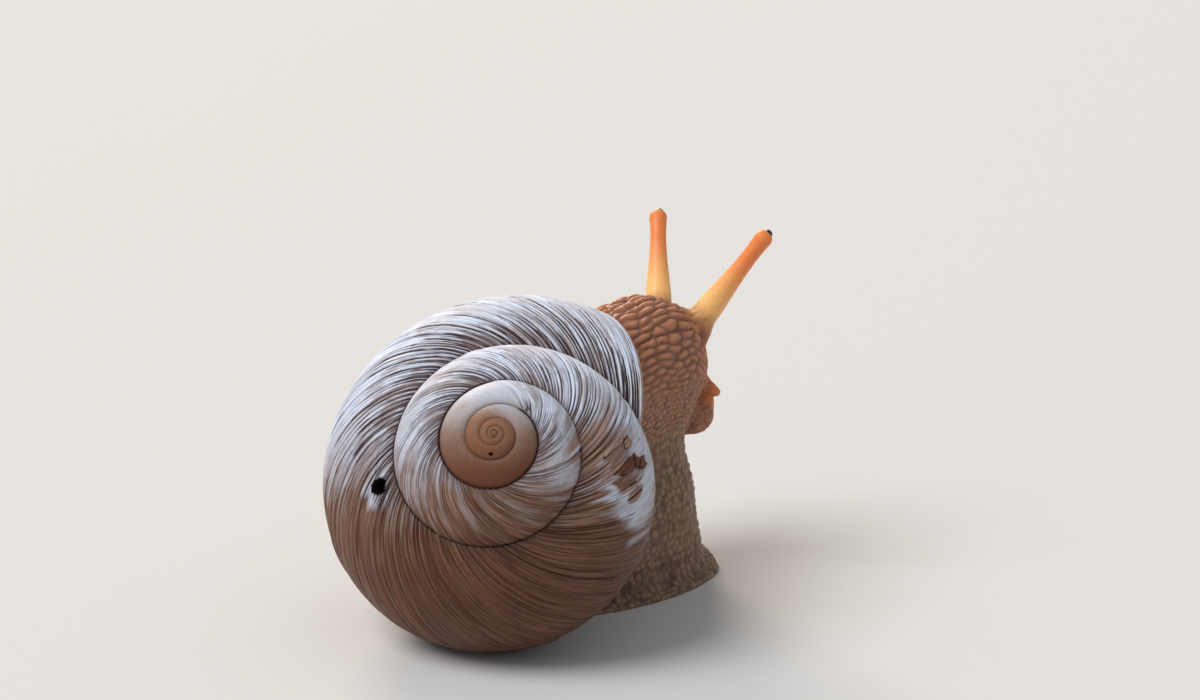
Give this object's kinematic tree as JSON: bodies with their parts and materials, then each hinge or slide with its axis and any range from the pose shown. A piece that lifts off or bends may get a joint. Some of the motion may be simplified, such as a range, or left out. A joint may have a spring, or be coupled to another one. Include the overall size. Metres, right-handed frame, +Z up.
{
  "type": "edible snail",
  "caption": "Life-size model of an edible snail in its coiled shell, head raised and feelers out, resting on its sole.",
  "frame": {"origin": "middle of the sole under the neck, level with the floor", "axes": "+X the way the snail faces, +Y to its left, +Z up"},
  "size_m": [0.0558, 0.0403, 0.04],
  "materials": {
    "shell": "weathered horn and lime, brown streaks on a chalky white, worn smooth on the oldest whorls",
    "mantle": "moist flesh",
    "skin": "moist, warted flesh, grey-brown between paler warts",
    "foot": "moist flesh with small warts and a paler, wrinkled edge",
    "tentacle": "moist, translucent, amber",
    "eye": "glossy black"
  },
  "bodies": {
    "root": {"shell": "shell", "mantle_collar": "mantle", "neck": "skin", "head": "skin", "lips": "skin", "foot": "foot", "tail": "foot", "upper_tentacle_left": "tentacle", "upper_tentacle_right": "tentacle", "lower_tentacle_left": "tentacle", "lower_tentacle_right": "tentacle", "eye_left": "eye", "eye_right": "eye"}
  },
  "joints": []
}
